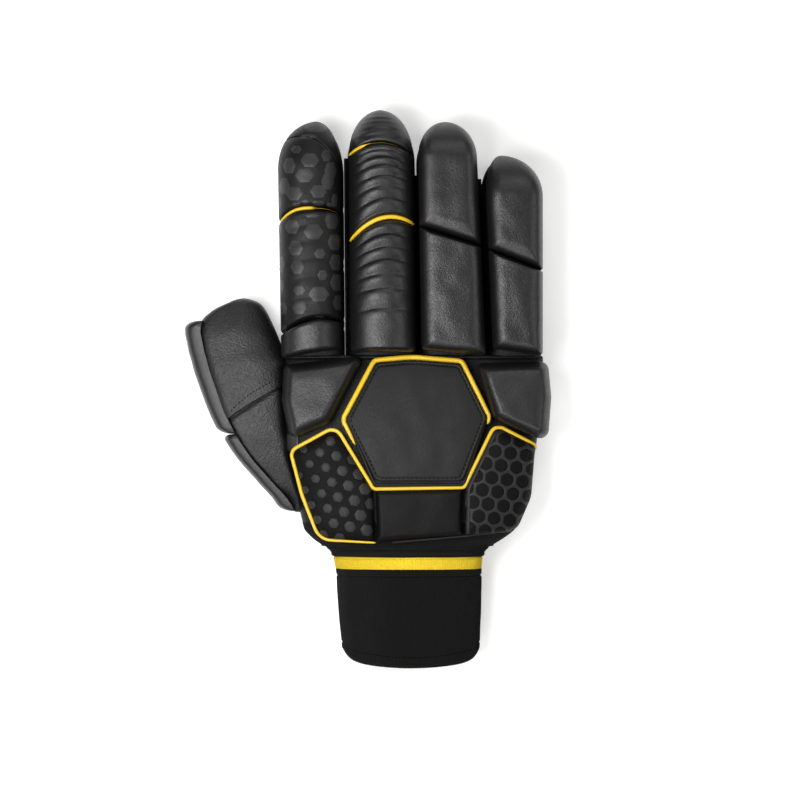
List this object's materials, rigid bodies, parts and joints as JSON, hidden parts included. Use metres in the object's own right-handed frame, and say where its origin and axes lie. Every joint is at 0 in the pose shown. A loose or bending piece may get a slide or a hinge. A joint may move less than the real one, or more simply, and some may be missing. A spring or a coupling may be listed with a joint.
{
  "type": "cricket batting glove",
  "caption": "Right-hand batting glove with foam-padded finger rolls, knuckle blocks, a hexagonal back patch, honeycomb wrist panels, yellow piping, a padded thumb and a knitted cuff",
  "frame": {"origin": "bottom centre of the bounding box; the palm lies on z = 0", "axes": "+Y from the cuff to the fingertips, +Z out of the back of the hand, +X to the little finger"},
  "size_m": [0.2032, 0.3094, 0.0482],
  "materials": {
    "leather": "soft black grained leather",
    "foam_cover": "smooth black synthetic leather over foam, soft sheen",
    "patch_cover": "matte black synthetic leather",
    "piping": "golden yellow coated piping",
    "knit": "black rib knit",
    "stripe": "yellow knitted stripe"
  },
  "bodies": {
    "root": {"hand_shell": "leather", "index_stall": "leather", "middle_stall": "leather", "ring_stall": "leather", "little_stall": "leather", "thumb_stall": "leather", "thumb_tip_pad": "foam_cover", "thumb_base_pad": "foam_cover", "index_knuckle_roll": "foam_cover", "index_lower_pad": "foam_cover", "index_middle_pad": "foam_cover", "index_tip_pad": "foam_cover", "middle_lower_pad": "foam_cover", "middle_middle_pad": "foam_cover", "middle_tip_pad": "foam_cover", "ring_lower_pad": "foam_cover", "ring_tip_pad": "foam_cover", "little_lower_pad": "foam_cover", "little_tip_pad": "foam_cover", "index_piping": "piping", "middle_lower_piping": "piping", "middle_upper_piping": "piping", "index_knuckle_block": "foam_cover", "little_knuckle_block": "foam_cover", "hexagon_patch": "patch_cover", "hexagon_piping": "piping", "left_wrist_panel": "patch_cover", "bottom_wrist_block": "foam_cover", "right_wrist_panel": "patch_cover", "panel_piping": "piping", "wrist_band": "knit", "wrist_stripe": "stripe", "cuff": "knit"}
  },
  "joints": []
}
